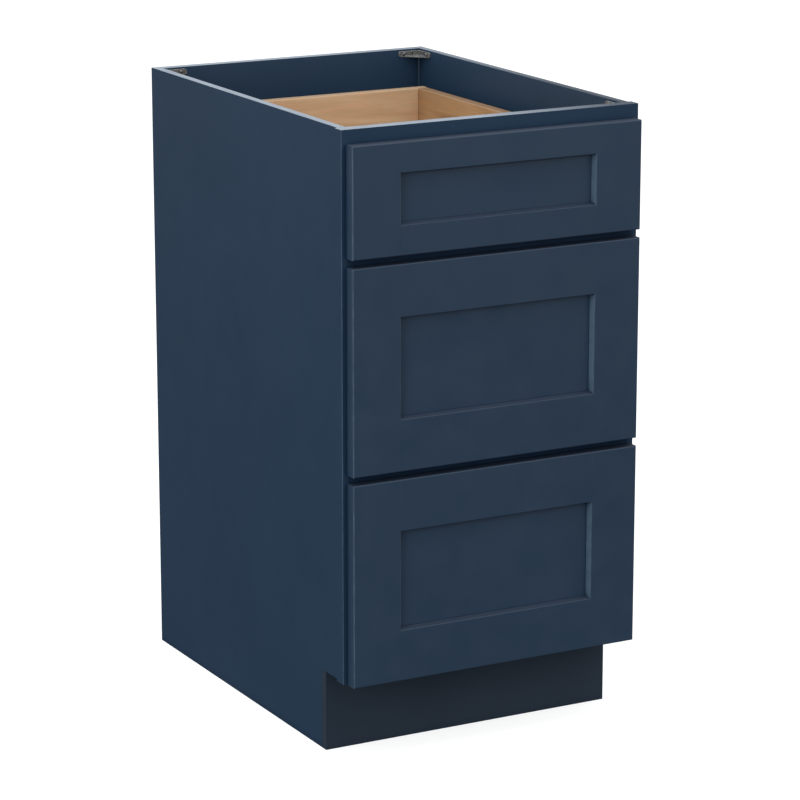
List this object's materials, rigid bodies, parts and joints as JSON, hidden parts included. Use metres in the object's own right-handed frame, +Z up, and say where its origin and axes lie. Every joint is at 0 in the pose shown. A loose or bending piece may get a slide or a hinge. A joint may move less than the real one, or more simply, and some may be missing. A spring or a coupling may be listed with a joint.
{
  "type": "bathroom vanity drawer base cabinet",
  "caption": "Navy painted drawer base cabinet with face frame, recessed-panel drawer fronts, dovetailed maple drawers on concealed runners, open top and toe kick.",
  "frame": {"origin": "on the floor, at the middle of the whole cabinet's box", "axes": "+Z up, +X to the right seen from the front, +Y from the drawer fronts to the wall"},
  "size_m": [0.4572, 0.6292, 0.8763],
  "materials": {
    "navy_paint": "satin navy paint on wood",
    "toe_kick_navy": "flat dark navy on plywood",
    "maple": "clear satin lacquer on maple",
    "maple_plywood": "clear satin lacquer on plywood",
    "zinc_plated_steel": "bright zinc plating",
    "brace_plastic": "moulded grey-brown plastic"
  },
  "bodies": {
    "carcass": {"side_panel_left": "navy_paint", "side_panel_right": "navy_paint", "back_panel": "navy_paint", "bottom_panel": "navy_paint", "toe_kick_board": "toe_kick_navy", "frame_stile_left": "navy_paint", "frame_stile_right": "navy_paint", "frame_rail_top": "navy_paint", "frame_rail_upper": "navy_paint", "frame_rail_lower": "navy_paint", "frame_rail_bottom": "navy_paint", "corner_brace_front_left": "brace_plastic", "corner_brace_front_right": "brace_plastic", "corner_brace_back_left": "brace_plastic", "corner_brace_back_right": "brace_plastic", "top_runner_rail_left": "zinc_plated_steel", "top_runner_rail_right": "zinc_plated_steel", "middle_runner_rail_left": "zinc_plated_steel", "middle_runner_rail_right": "zinc_plated_steel", "bottom_runner_rail_left": "zinc_plated_steel", "bottom_runner_rail_right": "zinc_plated_steel"},
    "top_drawer": {"top_front_stile_left": "navy_paint", "top_front_stile_right": "navy_paint", "top_front_rail_upper": "navy_paint", "top_front_rail_lower": "navy_paint", "top_front_panel": "navy_paint", "top_box_side_left": "maple", "top_box_side_right": "maple", "top_box_front": "maple", "top_box_back": "maple", "top_box_bottom": "maple_plywood", "top_runner_channel_left": "zinc_plated_steel", "top_runner_channel_right": "zinc_plated_steel"},
    "middle_drawer": {"middle_front_stile_left": "navy_paint", "middle_front_stile_right": "navy_paint", "middle_front_rail_upper": "navy_paint", "middle_front_rail_lower": "navy_paint", "middle_front_panel": "navy_paint", "middle_box_side_left": "maple", "middle_box_side_right": "maple", "middle_box_front": "maple", "middle_box_back": "maple", "middle_box_bottom": "maple_plywood", "middle_runner_channel_left": "zinc_plated_steel", "middle_runner_channel_right": "zinc_plated_steel"},
    "bottom_drawer": {"bottom_front_stile_left": "navy_paint", "bottom_front_stile_right": "navy_paint", "bottom_front_rail_upper": "navy_paint", "bottom_front_rail_lower": "navy_paint", "bottom_front_panel": "navy_paint", "bottom_box_side_left": "maple", "bottom_box_side_right": "maple", "bottom_box_front": "maple", "bottom_box_back": "maple", "bottom_box_bottom": "maple_plywood", "bottom_runner_channel_left": "zinc_plated_steel", "bottom_runner_channel_right": "zinc_plated_steel"}
  },
  "joints": [
    {"name": "top_drawer_slide", "type": "slide", "parent": "carcass", "child": "top_drawer", "axis": [0, -1, 0], "range_m": [0, 0.4]},
    {"name": "middle_drawer_slide", "type": "slide", "parent": "carcass", "child": "middle_drawer", "axis": [0, -1, 0], "range_m": [0, 0.4]},
    {"name": "bottom_drawer_slide", "type": "slide", "parent": "carcass", "child": "bottom_drawer", "axis": [0, -1, 0], "range_m": [0, 0.4]}
  ]
}
